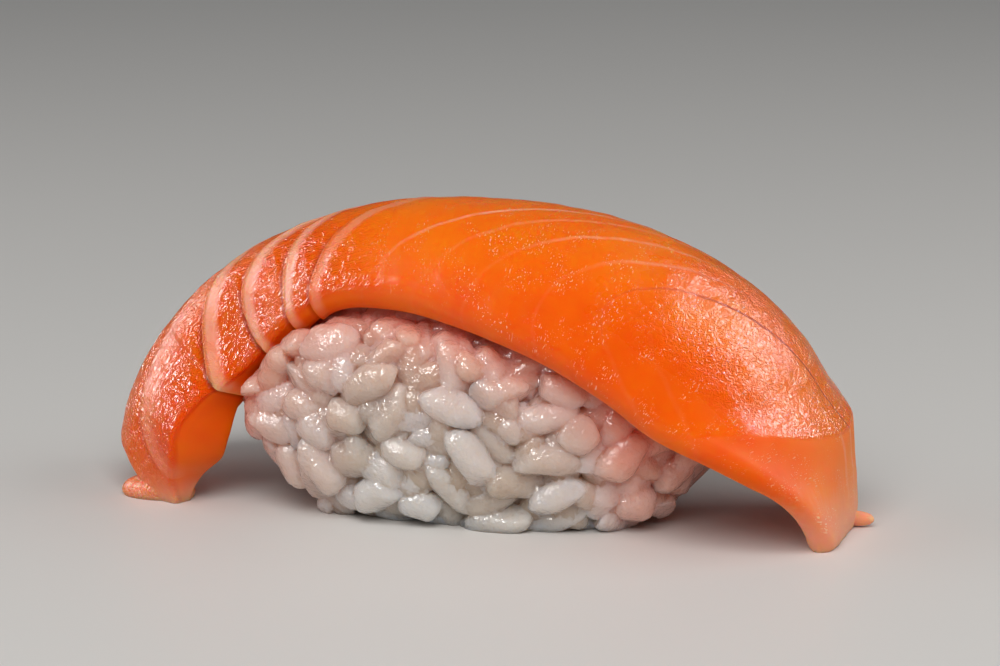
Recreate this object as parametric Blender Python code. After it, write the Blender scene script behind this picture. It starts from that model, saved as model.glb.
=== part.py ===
"""Salmon sushi: a slice of raw salmon draped over a pressed block of rice.

Lengths are millimetres until a mesh is made. +Z is up, +X runs along the slice
and -Y is its front. The origin is on the table, under the rice block's middle.
"""

import math
import random

import bmesh
import bpy
import numpy as np
from mathutils import Euler, Matrix, Vector
from mathutils.bvhtree import BVHTree

MM = 0.001

# The arch that the crown of the slice follows, end to end
ARCH_HEIGHT = 31.4
ARCH_MIDDLE = -2.15
ARCH_LEFT, ARCH_RIGHT = 38.5, 39.2
ARCH_POWER_LEFT, ARCH_POWER_RIGHT = 2.09, 2.2
LEFT_TUCK, RIGHT_TUCK, TUCK_BELOW = 0.45, 0.9, 9.0
ARCH_STEPS, SLOPE_STEP = 1200, 0.4

# Stations along the arch, by length from the crown, and the slice's section there: the
# width of flesh from the crown line to each long edge, the share of it over which the
# section turns down, how far it turns, in degrees, and how thick the slice is
STATIONS = (-58.0, -53.0, -48.0, -43.0, -38.0, -31.0, -24.0, -16.0, -8.0, 8.0, 22.0, 34.0, 44.0, 56.0)
FRONT_WIDTH = (11.1, 12.8, 14.2, 13.9, 13.0, 12.7, 12.6, 12.5, 14.3, 19.6, 22.2, 22.3, 18.9, 9.6)
FRONT_TURN = (65.0, 57.0, 52.0, 48.0, 56.0, 73.0, 64.0, 48.0, 50.0, 67.0, 77.0, 72.0, 47.0, 2.0)
FRONT_BEND = (0.5, 0.5, 0.5, 0.5, 0.5, 0.52, 0.55, 0.62, 0.7, 0.9, 0.95, 0.95, 0.95, 0.95)
BACK_WIDTH = (9.0, 10.5, 12.0, 13.2, 14.6, 16.8, 17.6, 18.2, 18.6, 18.8, 18.6, 17.2, 14.6, 11.0)
BACK_TURN = (14.0, 16.0, 20.0, 28.0, 38.0, 54.0, 70.0, 73.0, 74.0, 74.0, 72.0, 64.0, 50.0, 30.0)
BACK_BEND = 0.9
THICKNESS = (3.1, 5.0, 6.6, 7.0, 5.9, 4.6, 4.2, 4.3, 4.6, 5.0, 5.0, 5.0, 4.5, 3.4)

# Where the slice ends, by length from the crown, at these shares of its width
END_SHARES = (-1.0, -0.45, 0.4, 1.0)
LEFT_END = (-59.0, -52.6, -51.2, -52.5)
RIGHT_END = (57.2, 57.6, 57.6, 57.0)
# How the long edges are rounded, as shares of the width and of the thickness; how far in
# from each end the rounding starts; and how much flatter and narrower its last ring is
EDGE_INSET, EDGE_RISE = 0.073, 0.22
END_ROUND, END_ROUND_FROM, END_FLATTER, END_NARROWER = 1.7, 78.0, 0.7, 0.06

# Half the size of the block of space over the table that the solids are trimmed to
TABLE_SIZE = 200.0

# Rings along the slice: close together where it flakes, and wider apart elsewhere
FLAKED_STEP, PLAIN_STEP, FLAKED_UP_TO = 1.15, 3.0, -9.0
OUTER_STEPS, INNER_STEPS, CORNER_STEPS, END_STEPS = 14, 6, 2, 3

# Seams between flakes, each the curve u = start + bend * (v - middle) ** 2 over the
# slice, where v is measured from the crown line, and how deep its groove is. A groove
# runs a little left of its seam, a lip stands to its right, and both fade to the back
SEAMS = (
    (-56.5, 0.065, -22.0, 0.35),
    (-35.7, 0.037, -17.2, 0.55),
    (-26.7, 0.088, -10.8, 0.6),
    (-20.6, 0.042, -12.8, 0.5),
    (-17.2, 0.041, -16.2, 0.35),
)
GROOVE_AT, GROOVE_WIDTH = -1.0, 1.1
LIP_AT, LIP_WIDTH, LIP_SHARE = 1.5, 1.8, 0.3
SEAM_FADE_FROM, SEAM_FADE_OVER = 6.3, 14.0
# The crease across the right end, from u where v is at its middle
CREASE_AT, CREASE_BEND, CREASE_MIDDLE = 46.0, 0.03, -2.5
CREASE_SLOPE, CREASE_SPAN, CREASE_ROUND = 0.11, 6.0, 0.45

# The tongue of flesh folded under the left end, and the shred at the right end
TONGUE_CENTRE, TONGUE_HALF = (-34.8, -4.6, 0.6), (3.9, 2.3, 1.7)
SHRED_FROM, SHRED_TO, SHRED_RADIUS = (34.6, 1.2, 0.8), (37.9, 1.7, 0.9), 0.75

# The rice block: half sizes of the packed core, its middle's height and its roundness
CORE_HALF, CORE_MIDDLE = (25.5, 11.4, 14.2), (-2.3, 0.3, 12.4)
CORE_PLAN_POWER, CORE_TOP_POWER, CORE_FOOT_POWER = 2.3, 2.3, 2.6
CORE_ROUND_STEPS, CORE_RISE_STEPS = 40, 18
# The flat presses low on its ends: each one's outward lean in X and Z, and its reach
PRESSES = (((-0.63, -0.78), 8.6), ((0.81, -0.59), 12.4))
# What the grains and the core keep clear of the slice, and by what share a point of the
# core is drawn in until it is clear
SLICE_GAP, CORE_GAP, CORE_SHRINK = 0.3, 0.9, 0.985

# Cooked short rice, with its sides, its rings and how blunt its ends are
GRAIN_LENGTH, GRAIN_WIDTH, GRAIN_DEPTH, FRONT_DEPTH_SHARE = 6.6, 3.7, 3.3, 0.9
GRAIN_SIDES, GRAIN_RINGS, GRAIN_BLUNT = 6, (-0.75, 0.0, 0.75), 2.5
# How the grains are spread over the core: spacing, spread of sizes, tilt in radians, how
# far their middles stand out of it, and how they sink where they would touch the slice
GRAIN_SEED, GRAIN_SPACING, GRAIN_DARTS = 41, 2.55, 7000
GRAIN_SIZES, GRAIN_TILT, GRAIN_LIFTS = (0.85, 1.1), 0.3, (-0.3, 0.4)
MARK_SHARES = (-0.3, 0.0, 0.3)
SINK_STEP, SINK_TRIES = 0.4, 6
# No grain is laid under the block, nor on top of it where the slice hides it
FOOT_BELOW, FOOT_LEAN = 1.0, -0.5
HIDDEN_WITHIN, HIDDEN_HALF_WIDTH, HIDDEN_ABOVE = 2.5, 8.0, 16.0

# The grains that show most, seen from FRONT_FROM: X, height, lean in degrees, length,
# width, and how far the grain's middle stands out of the core
FRONT_FROM = -40.0
FRONT_GRAINS = (
    (-10.0, 20.0, 65, 3.6, 2.2, 0.4),
    (-14.5, 18.0, 5, 6.0, 3.4, 0.7),
    (-15.0, 15.0, -60, 4.4, 3.6, 0.3),
    (-6.5, 19.0, -60, 4.2, 3.2, 0.6),
    (-10.0, 14.5, 25, 6.2, 3.2, 0.8),
    (-12.5, 11.0, -10, 4.2, 3.0, 0.8),
    (-8.0, 12.0, 55, 6.2, 3.2, 0.6),
    (-1.5, 13.0, -25, 6.6, 3.4, 0.7),
    (3.0, 14.5, 5, 5.6, 3.0, 0.6),
    (9.0, 15.0, -20, 4.8, 2.8, 0.5),
    (-17.5, 11.5, 0, 4.2, 3.0, 0.4),
    (-16.0, 9.5, -40, 4.4, 3.2, 0.3),
    (-15.5, 6.0, -55, 5.6, 3.2, 0.8),
    (-19.0, 5.0, -70, 4.8, 2.8, 0.3),
    (-7.0, 8.0, -10, 4.4, 3.2, 0.5),
    (0.0, 8.0, -55, 6.6, 3.2, 0.9),
    (-3.5, 7.0, 10, 3.0, 1.6, 0.4),
    (4.5, 10.5, -60, 2.8, 2.4, 0.5),
    (8.0, 12.0, 10, 5.6, 2.8, 0.5),
    (10.5, 10.5, -20, 3.6, 3.6, 0.8),
    (7.5, 8.0, -5, 6.8, 3.0, 0.7),
    (14.5, 8.5, 40, 6.2, 3.2, 0.7),
    (-10.0, 3.5, 40, 6.6, 3.2, 0.8),
    (-13.0, 2.5, -20, 3.2, 2.4, 0.4),
    (-5.5, 2.5, -10, 4.4, 3.0, 0.7),
    (-2.0, 4.5, -50, 6.4, 2.8, 0.4),
    (2.5, 1.5, 20, 6.4, 3.2, 1.0),
    (8.5, 4.5, 30, 6.0, 2.8, 0.9),
    (7.5, 1.5, 30, 7.6, 2.4, 0.6),
    (15.5, 3.5, -30, 4.0, 3.6, 0.5),
    (19.0, 6.5, 20, 4.8, 2.8, 0.5),
    (18.0, 3.5, -45, 4.2, 2.8, 0.5),
)

# Colours and roughness, and the angle in degrees from which an edge looks sharp
SALMON_COLOUR, SALMON_ROUGHNESS, SALMON_SHARP = (0.90, 0.23, 0.03, 1.0), 0.3, 50.0
RICE_COLOUR, RICE_ROUGHNESS, RICE_SHARP = (0.86, 0.80, 0.72, 1.0), 0.35, 40.0


def clear_scene():
    for obj in list(bpy.data.objects):
        bpy.data.objects.remove(obj)


def finish_of(name, colour, roughness):
    made = bpy.data.materials.new(name)
    made.use_nodes = True
    shader = made.node_tree.nodes["Principled BSDF"]
    shader.inputs["Base Color"].default_value = colour
    shader.inputs["Roughness"].default_value = roughness
    shader.inputs["Metallic"].default_value = 0.0
    return made


def object_of(name, points, faces):
    mesh = bpy.data.meshes.new(name)
    mesh.from_pydata([tuple(c * MM for c in p) for p in points], [], faces)
    mesh.validate()
    made = bpy.data.objects.new(name, mesh)
    bpy.context.scene.collection.objects.link(made)
    return made


def smooth_curve(at, knots, values):
    """A smooth curve through values at knots, read at each of at."""
    knots, values = np.array(knots, float), np.array(values, float)
    slopes = np.gradient(values, knots)
    at = np.clip(at, knots[0], knots[-1])
    i = np.clip(np.searchsorted(knots, at) - 1, 0, len(knots) - 2)
    span = knots[i + 1] - knots[i]
    x = (at - knots[i]) / span
    return (
        values[i] * (1 + 2 * x) * (1 - x) ** 2
        + slopes[i] * span * x * (1 - x) ** 2
        + values[i + 1] * x * x * (3 - 2 * x)
        - slopes[i + 1] * span * x * x * (1 - x)
    )


def arch_table():
    """Lengths from the crown, and the arch's points in X and Z, from left to right."""
    angle = np.linspace(math.pi, 0, ARCH_STEPS + 1)
    left = angle > math.pi / 2
    power = 2 / np.where(left, ARCH_POWER_LEFT, ARCH_POWER_RIGHT)
    reach = np.where(left, -ARCH_LEFT, ARCH_RIGHT)
    x = reach * np.abs(np.cos(angle)) ** power
    z = ARCH_HEIGHT * np.maximum(np.sin(angle), 0) ** power
    tuck = np.where(left, LEFT_TUCK, -RIGHT_TUCK)
    x += ARCH_MIDDLE + tuck * np.maximum(1 - z / TUCK_BELOW, 0) ** 2
    x = np.concatenate([[x[0] + LEFT_TUCK * 2], x, [x[-1] - RIGHT_TUCK * 2]])
    z = np.concatenate([[-TUCK_BELOW], z, [-TUCK_BELOW]])
    length = np.concatenate([[0], np.cumsum(np.hypot(np.diff(x), np.diff(z)))])
    return length - length[len(x) // 2], x, z


ARCH = arch_table()


def arch_frame(u):
    """The arch's points at lengths u, and its outward normals there, in X and Z."""
    length, x, z = ARCH
    here = np.stack([np.interp(u, length, x), np.interp(u, length, z)], -1)
    low, high = u - SLOPE_STEP, u + SLOPE_STEP
    along = np.stack(
        [
            np.interp(high, length, x) - np.interp(low, length, x),
            np.interp(high, length, z) - np.interp(low, length, z),
        ],
        -1,
    )
    along /= np.linalg.norm(along, axis=-1, keepdims=True)
    return here, np.stack([-along[..., 1], along[..., 0]], -1)


def slice_point(u, t, depth):
    """Points of the slice: u mm along the arch, t from -1 at the front edge to 1 at
    the back edge, and depth from 0 at the outer face to 1 at the inner face."""
    front = t < 0
    width = slice_width(u, t)
    turn = np.where(
        front, smooth_curve(u, STATIONS, FRONT_TURN), smooth_curve(u, STATIONS, BACK_TURN)
    )
    bend = width * np.where(front, smooth_curve(u, STATIONS, FRONT_BEND), BACK_BEND)
    turn = np.radians(turn)
    reach = np.abs(t) * width
    angle = turn * np.minimum(reach / bend, 1)
    straight = np.maximum(reach - bend, 0)
    out = bend / turn * np.sin(angle) + straight * np.cos(turn)
    fall = bend / turn * (1 - np.cos(angle)) + straight * np.sin(turn)
    inward = depth * smooth_curve(u, STATIONS, THICKNESS)
    out = out - inward * np.sin(angle)
    fall = fall + inward * np.cos(angle)
    raised = relief(u, t * width) * np.maximum(1 - 3 * depth, 0)
    out = out + raised * np.sin(angle)
    fall = fall - raised * np.cos(angle)
    here, normal = arch_frame(u)
    y = np.where(front, -out, out)
    return np.stack(
        [here[..., 0] - fall * normal[..., 0], y, here[..., 1] - fall * normal[..., 1]],
        -1,
    )


def slice_width(u, t):
    """The width of flesh from the crown line to the edge on t's side, at u."""
    return np.where(
        t < 0, smooth_curve(u, STATIONS, FRONT_WIDTH), smooth_curve(u, STATIONS, BACK_WIDTH)
    )


def relief(u, v):
    """How far the outer face stands out: grooves and lips at the seams, and a crease."""
    out = 0 * u
    for start, bend, middle, depth in SEAMS:
        slope = 2 * bend * (v - middle)
        off = (u - start - bend * (v - middle) ** 2) / np.sqrt(1 + slope**2)
        fade = depth * np.clip((SEAM_FADE_FROM - v) / SEAM_FADE_OVER, 0, 1)
        out = out - fade * np.exp(-(((off - GROOVE_AT) / GROOVE_WIDTH) ** 2))
        out = out + LIP_SHARE * fade * np.exp(-(((off - LIP_AT) / LIP_WIDTH) ** 2))
    off = u - CREASE_AT + CREASE_BEND * (v - CREASE_MIDDLE) ** 2
    near = np.exp(-((off / CREASE_SPAN) ** 2))
    return out + CREASE_SLOPE * near * (CREASE_SPAN / 3 - np.hypot(off, CREASE_ROUND))


def slice_ends(t):
    """How far along the arch the slice reaches, left and right, at each t."""
    return smooth_curve(t, END_SHARES, LEFT_END), smooth_curve(t, END_SHARES, RIGHT_END)


def section_loop(outer, inner, corner):
    """The section's outline as (t, depth) pairs: over the outer face from front to
    back, then back along the inner face. The corners are rounded."""
    turn = np.linspace(0, math.pi / 2, corner + 1)
    edge, deep = 1 - EDGE_INSET * (1 - np.sin(turn)), EDGE_RISE * (1 - np.cos(turn))
    sides = []
    for steps in (outer, inner):
        face = np.linspace(-edge[0], edge[0], steps)
        sides.append(
            (
                np.concatenate([-edge[::-1], face[1:-1], edge]),
                np.concatenate([deep[::-1], 0 * face[1:-1], deep]),
            )
        )
    t = np.concatenate([sides[0][0], sides[1][0][::-1]])
    depth = np.concatenate([sides[0][1], 1 - sides[1][1][::-1]])
    return t, depth


def ring_places(end):
    """The rings along the slice, as (side, pull from the end, how full the ring is)."""
    turns = np.linspace(math.radians(END_ROUND_FROM), 0, end + 1)[:-1]
    pulls = [(END_ROUND * (1 - math.sin(a)), 1 - END_FLATTER * (1 - math.cos(a))) for a in turns]
    plain = [LEFT_END[0] + END_ROUND]
    while plain[-1] < RIGHT_END[1] - END_ROUND:
        plain.append(plain[-1] + (FLAKED_STEP if plain[-1] < FLAKED_UP_TO else PLAIN_STEP))
    share = (np.array(plain) - plain[0]) / (plain[-1] - plain[0])
    rings = [(0.0, pull, full) for pull, full in pulls]
    rings += [(s, END_ROUND, 1.0) for s in share]
    return rings + [(1.0, pull, full) for pull, full in pulls[::-1]]


def slice_mesh():
    """The slice as one closed skin: rings round it, rounded at both ends and capped."""
    t, depth = section_loop(OUTER_STEPS, INNER_STEPS, CORNER_STEPS)
    count = len(t)
    left, right = slice_ends(t)
    points = []
    for share, pull, full in ring_places(END_STEPS):
        low, high = left + pull, right - pull
        ring_t = t * (1 - END_NARROWER * (1 - full))
        ring_depth = 0.5 + (depth - 0.5) * full
        points.append(slice_point(low + (high - low) * share, ring_t, ring_depth))
    faces = []
    for ring in range(len(points) - 1):
        a, b = ring * count, (ring + 1) * count
        for i in range(count):
            j = (i + 1) % count
            faces.append((a + i, b + i, b + j, a + j))
    last = (len(points) - 1) * count
    faces.append(tuple(range(count)))
    faces.append(tuple(range(last + count - 1, last - 1, -1)))
    return np.concatenate(points), faces


def ball(name, centre, half, sides=10, rings=6):
    """A rounded lump, as a closed mesh."""
    points = [(0, 0, -1)]
    for i in range(1, rings):
        angle = math.pi * i / rings
        for k in range(sides):
            turn = 2 * math.pi * k / sides
            points.append(
                (
                    math.sin(angle) * math.cos(turn),
                    math.sin(angle) * math.sin(turn),
                    -math.cos(angle),
                )
            )
    points.append((0, 0, 1))
    faces = [(0, 1 + (k + 1) % sides, 1 + k) for k in range(sides)]
    for i in range(rings - 2):
        for k in range(sides):
            a, b = 1 + i * sides + k, 1 + i * sides + (k + 1) % sides
            faces.append((a, b, b + sides, a + sides))
    top = len(points) - 1
    first = top - sides
    faces += [(first + k, first + (k + 1) % sides, top) for k in range(sides)]
    placed = np.array(points) * half + centre
    return object_of(name, placed, faces)


def join_all(target, others):
    """Fuses the others into target with one union, then removes them."""
    group = bpy.data.collections.new("fused")
    for other in others:
        group.objects.link(other)
    union = target.modifiers.new("fuse", "BOOLEAN")
    union.operation = "UNION"
    union.operand_type = "COLLECTION"
    union.collection = group
    union.solver = "EXACT"
    apply_modifiers(target)
    for other in others:
        bpy.data.objects.remove(other)
    bpy.data.collections.remove(group)


def apply_modifiers(obj):
    graph = bpy.context.evaluated_depsgraph_get()
    mesh = bpy.data.meshes.new_from_object(obj.evaluated_get(graph))
    obj.modifiers.clear()
    obj.data = mesh


def keep_largest(obj):
    """Drops loose scraps and sealed hollows, which leaves one closed skin."""
    work = bmesh.new()
    work.from_mesh(obj.data)
    unseen = set(work.verts)
    skins = []
    while unseen:
        skin, edge = set(), {unseen.pop()}
        while edge:
            skin |= edge
            edge = {e.other_vert(v) for v in edge for e in v.link_edges} - skin
        unseen -= skin
        skins.append(skin)
    largest = max(skins, key=len)
    bmesh.ops.delete(work, geom=[v for v in work.verts if v not in largest], context="VERTS")
    work.to_mesh(obj.data)
    work.free()


def cut_at_table(obj):
    """Trims what would reach below the table, which leaves flat contact faces."""
    size = TABLE_SIZE
    points = [(x * size, y * size, z * size) for x in (-1, 1) for y in (-1, 1) for z in (0, 1)]
    faces = [(0, 1, 3, 2), (4, 6, 7, 5), (0, 4, 5, 1), (2, 3, 7, 6), (0, 2, 6, 4), (1, 5, 7, 3)]
    keep = object_of("above_table", points, faces)
    trim = obj.modifiers.new("trim", "BOOLEAN")
    trim.operation = "INTERSECT"
    trim.object = keep
    trim.solver = "EXACT"
    apply_modifiers(obj)
    bpy.data.objects.remove(keep)


def make_salmon():
    points, faces = slice_mesh()
    salmon = object_of("salmon", points, faces)
    tongue = ball("tongue", TONGUE_CENTRE, TONGUE_HALF)
    middle = (np.array(SHRED_FROM) + SHRED_TO) / 2
    reach = np.linalg.norm(np.subtract(SHRED_TO, SHRED_FROM)) / 2
    shred = ball("shred", middle, (reach, SHRED_RADIUS, SHRED_RADIUS))
    join_all(salmon, [tongue, shred])
    cut_at_table(salmon)
    keep_largest(salmon)
    salmon.data.materials.clear()
    salmon.data.materials.append(finish_of("salmon flesh", SALMON_COLOUR, SALMON_ROUGHNESS))
    salmon.data.shade_smooth()
    salmon.data.set_sharp_from_angle(angle=math.radians(SALMON_SHARP))
    return salmon


def core_radius_share(direction):
    """How far along a direction the core's surface lies, in units of its half sizes."""
    x, y, z = np.abs(direction)
    power = CORE_TOP_POWER if direction[2] > 0 else CORE_FOOT_POWER
    plan = (x**CORE_PLAN_POWER + y**CORE_PLAN_POWER) ** (power / CORE_PLAN_POWER)
    return (plan + z**power) ** (-1 / power)


def core_mesh(slice_tree):
    """The packed rice under the grains that show, fitted under the slice."""
    points = []
    for i in range(CORE_RISE_STEPS + 1):
        rise = math.pi * (i / CORE_RISE_STEPS - 0.5)
        for k in range(CORE_ROUND_STEPS):
            turn = 2 * math.pi * k / CORE_ROUND_STEPS
            way = np.array(
                [math.cos(rise) * math.cos(turn), math.cos(rise) * math.sin(turn), math.sin(rise)]
            )
            point = way * core_radius_share(way) * CORE_HALF + CORE_MIDDLE
            points.append(under_slice(pressed(point), slice_tree))
            if i in (0, CORE_RISE_STEPS):
                break
    faces = [(0, 1 + (k + 1) % CORE_ROUND_STEPS, 1 + k) for k in range(CORE_ROUND_STEPS)]
    for i in range(CORE_RISE_STEPS - 2):
        for k in range(CORE_ROUND_STEPS):
            a = 1 + i * CORE_ROUND_STEPS + k
            b = 1 + i * CORE_ROUND_STEPS + (k + 1) % CORE_ROUND_STEPS
            faces.append((a, b, b + CORE_ROUND_STEPS, a + CORE_ROUND_STEPS))
    top = len(points) - 1
    first = top - CORE_ROUND_STEPS
    faces += [
        (first + k, first + (k + 1) % CORE_ROUND_STEPS, top) for k in range(CORE_ROUND_STEPS)
    ]
    return points, faces


def pressed(point):
    """The point, brought in to the flat presses low on the block's ends."""
    for (x, z), reach in PRESSES:
        over = max(point[0] * x + point[2] * z - reach, 0)
        point = point - np.array((x, 0, z)) * over
    return point


def under_slice(point, slice_tree):
    """The point, drawn in towards the core's middle until it clears the slice."""
    middle = Vector(CORE_MIDDLE)
    way = Vector(point) - middle
    far = slice_tree.ray_cast(middle, way.normalized(), way.length + CORE_GAP)[3]
    if far is not None:
        way = way.normalized() * (far - CORE_GAP)
    while slice_tree.find_nearest(middle + way)[3] < CORE_GAP:
        way *= CORE_SHRINK
    return tuple(middle + way)


def grain_points(length, width, depth):
    """A plump grain as points and faces, its long way along X."""
    points = [(-length / 2, 0, 0)]
    for ring in GRAIN_RINGS:
        radius = (1 - abs(ring) ** GRAIN_BLUNT) ** (1 / GRAIN_BLUNT)
        for k in range(GRAIN_SIDES):
            turn = 2 * math.pi * k / GRAIN_SIDES
            points.append(
                (
                    ring * length / 2,
                    radius * width / 2 * math.cos(turn),
                    radius * depth / 2 * math.sin(turn),
                )
            )
    points.append((length / 2, 0, 0))
    faces = [(0, 1 + (k + 1) % GRAIN_SIDES, 1 + k) for k in range(GRAIN_SIDES)]
    for i in range(len(GRAIN_RINGS) - 1):
        for k in range(GRAIN_SIDES):
            a, b = 1 + i * GRAIN_SIDES + k, 1 + i * GRAIN_SIDES + (k + 1) % GRAIN_SIDES
            faces.append((a, b, b + GRAIN_SIDES, a + GRAIN_SIDES))
    top = len(points) - 1
    first = top - GRAIN_SIDES
    faces += [(first + k, first + (k + 1) % GRAIN_SIDES, top) for k in range(GRAIN_SIDES)]
    return points, faces


def triangles_of(faces):
    for face in faces:
        for k in range(1, len(face) - 1):
            yield (face[0], face[k], face[k + 1])


def settle(spot, way, lie, size, lift, slice_tree):
    """Sinks a grain into the core until it clears the slice, or gives None."""
    for sink in range(SINK_TRIES):
        centre = spot + way * (lift - sink * SINK_STEP)
        place = Matrix.Translation(centre) @ lie.to_matrix().to_4x4()
        if clear_of_slice(place, size, slice_tree):
            return place
    return None


def clear_of_slice(place, size, slice_tree):
    """Whether a grain, with its gap round it, crosses no face of the slice."""
    centre = place @ Vector((0, 0, 0))
    near, normal, _, _ = slice_tree.find_nearest(centre)
    points, faces = grain_points(*[k + 2 * SLICE_GAP for k in size])
    grown = BVHTree.FromPolygons([place @ Vector(p) for p in points], faces)
    return (centre - near).dot(normal) > 0 and not grown.overlap(slice_tree)


def marks_of(place, size):
    """Three spots along a grain, which keep the next ones away."""
    return [place @ Vector((share * size[0], 0, 0)) for share in MARK_SHARES]


def front_places(core_tree, slice_tree):
    """The grains that show most, laid on the core where they are seen from the front."""
    places = []
    for x, z, lean, length, width, lift in FRONT_GRAINS:
        spot, way, _, _ = core_tree.ray_cast(Vector((x, FRONT_FROM, z)), Vector((0, 1, 0)))
        if spot is None:
            continue
        along = Vector((math.cos(math.radians(lean)), 0, math.sin(math.radians(lean))))
        along = (along - way * along.dot(way)).normalized()
        lie = Matrix((along, way.cross(along), way)).transposed().to_quaternion()
        size = (length, width, width * FRONT_DEPTH_SHARE)
        place = settle(spot, way, lie, size, lift, slice_tree)
        if place:
            places.append((place, size))
    return places


def grain_places(points, faces, slice_tree):
    """Where each grain that shows lies: matrices in millimetres, with the grain sizes."""
    core_tree = BVHTree.FromPolygons([Vector(p) for p in points], faces)
    places = front_places(core_tree, slice_tree)
    marks = [mark for place, size in places for mark in marks_of(place, size)]
    draw = random.Random(GRAIN_SEED)
    corners = [[Vector(points[i]) for i in face] for face in triangles_of(faces)]
    areas = [((b - a).cross(c - a)).length / 2 for a, b, c in corners]
    for _ in range(GRAIN_DARTS):
        a, b, c = draw.choices(corners, areas)[0]
        r, s = draw.random() ** 0.5, draw.random()
        spot = a * (1 - r) + b * r * (1 - s) + c * r * s
        way = (b - a).cross(c - a).normalized()
        turns = [draw.uniform(-k, k) for k in (GRAIN_TILT, GRAIN_TILT, math.pi)]
        turn = Euler(turns).to_quaternion()
        whole = (GRAIN_LENGTH, GRAIN_WIDTH, GRAIN_DEPTH)
        size = [k * draw.uniform(*GRAIN_SIZES) for k in whole]
        lift = draw.uniform(*GRAIN_LIFTS)
        if min(((spot - mark).length for mark in marks), default=99) < GRAIN_SPACING:
            continue
        under = spot.z < FOOT_BELOW and way.z < FOOT_LEAN
        if under or hidden(spot, slice_tree):
            continue
        place = settle(spot, way, way.to_track_quat("Z", "X") @ turn, size, lift, slice_tree)
        if place:
            places.append((place, size))
            marks += marks_of(place, size)
    return places


def hidden(spot, slice_tree):
    """Whether a spot lies well under the slice, where no grain shows."""
    near, _, _, away = slice_tree.find_nearest(spot)
    inside = away < HIDDEN_WITHIN and abs(near.y) < HIDDEN_HALF_WIDTH
    return inside and spot.z > HIDDEN_ABOVE


def make_rice(slice_tree):
    points, faces = core_mesh(slice_tree)
    rice = object_of("rice", points, faces)
    grains = []
    for number, (place, size) in enumerate(grain_places(points, faces, slice_tree)):
        shape, sides = grain_points(*size)
        placed = [tuple(place @ Vector(p)) for p in shape]
        grains.append(object_of(f"grain_{number}", placed, sides))
    join_all(rice, grains)
    cut_at_table(rice)
    keep_largest(rice)
    rice.data.materials.clear()
    rice.data.materials.append(finish_of("cooked rice", RICE_COLOUR, RICE_ROUGHNESS))
    rice.data.shade_smooth()
    rice.data.set_sharp_from_angle(angle=math.radians(RICE_SHARP))
    return rice


def tree_of(obj):
    points = [v.co / MM for v in obj.data.vertices]
    return BVHTree.FromPolygons(points, [tuple(p.vertices) for p in obj.data.polygons])


def main():
    clear_scene()
    salmon = make_salmon()
    make_rice(tree_of(salmon))


main()
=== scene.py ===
import math
import random

import bmesh
import bpy
import numpy as np
from bpy.props import FloatProperty, FloatVectorProperty, IntProperty, PointerProperty
from mathutils import Euler, Matrix, Vector, kdtree, noise
from mathutils.bvhtree import BVHTree


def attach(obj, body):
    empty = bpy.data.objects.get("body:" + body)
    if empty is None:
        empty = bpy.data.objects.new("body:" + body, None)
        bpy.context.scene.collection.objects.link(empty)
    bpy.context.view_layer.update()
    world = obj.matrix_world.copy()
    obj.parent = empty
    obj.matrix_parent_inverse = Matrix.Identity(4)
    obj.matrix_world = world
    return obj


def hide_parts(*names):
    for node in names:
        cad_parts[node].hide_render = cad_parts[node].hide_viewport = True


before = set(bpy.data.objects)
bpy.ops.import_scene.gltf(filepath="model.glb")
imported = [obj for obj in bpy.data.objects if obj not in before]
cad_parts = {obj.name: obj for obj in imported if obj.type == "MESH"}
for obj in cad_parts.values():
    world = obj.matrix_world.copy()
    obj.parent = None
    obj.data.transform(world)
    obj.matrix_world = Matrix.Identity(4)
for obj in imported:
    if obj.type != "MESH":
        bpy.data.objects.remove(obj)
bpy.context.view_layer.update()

bl_info = {
    "name": "Salmon Sushi",
    "version": (1, 0, 0),
    "blender": (4, 5, 0),
    "location": "3D View > Sidebar > Sushi",
    "description": "A slice of raw salmon draped over pressed rice, on a pale table",
    "category": "Add Mesh",
}

MM = 0.001

# The arch that the crown of the slice follows, in millimetres
ARCH_HEIGHT = 31.4
ARCH_MIDDLE = -2.15
ARCH_LEFT, ARCH_RIGHT = 38.5, 39.2
ARCH_POWER_LEFT, ARCH_POWER_RIGHT = 2.09, 2.2
LEFT_TUCK, RIGHT_TUCK, TUCK_BELOW = 0.45, 0.9, 9.0
ARCH_STEPS, SLOPE_STEP = 1200, 0.4

# The slice's section at stations along the arch, by length from the crown
STATIONS = (-63, -58, -53, -48, -43, -38, -31, -24, -16, -8, 8, 22, 34, 44, 56)
FRONT_WIDTH = (6.5, 11.1, 12.8, 14.2, 13.9, 13, 12.7, 12.6, 12.5, 14.3, 19.6, 22.2, 22.3, 18.9, 9.6)
FRONT_TURN = (73, 65, 57, 52, 48, 56, 73, 64, 48, 50, 67, 77, 72, 47, 2)
FRONT_BEND = (0.5, 0.5, 0.5, 0.5, 0.5, 0.5, 0.52, 0.55, 0.62, 0.7, 0.9, 0.95, 0.95, 0.95, 0.95)
BACK_WIDTH = (7.5, 9, 10.5, 12, 13.2, 14.6, 16.8, 17.6, 18.2, 18.6, 18.8, 18.6, 17.2, 14.6, 11)
BACK_TURN = (12, 14, 16, 20, 28, 38, 54, 70, 73, 74, 74, 72, 64, 50, 30)
BACK_BEND = 0.9
THICKNESS = (0.8, 1.7, 4.2, 6.4, 7, 5.9, 4.6, 4.2, 4.3, 4.6, 5, 5, 5, 4.5, 3.4)
EDGE_ROUND = (0.5, 0.5, 0.5, 0.5, 0.5, 0.5, 0.6, 1.2, 1.9, 2.2, 2.2, 2.2, 2.2, 2.1, 1.6)
END_SHARES = (-1.0, -0.45, 0.4, 1.0)
LEFT_END = (-61.0, -52.6, -51.2, -52.5)
RIGHT_END = (57.2, 57.6, 57.6, 57.0)
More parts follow.
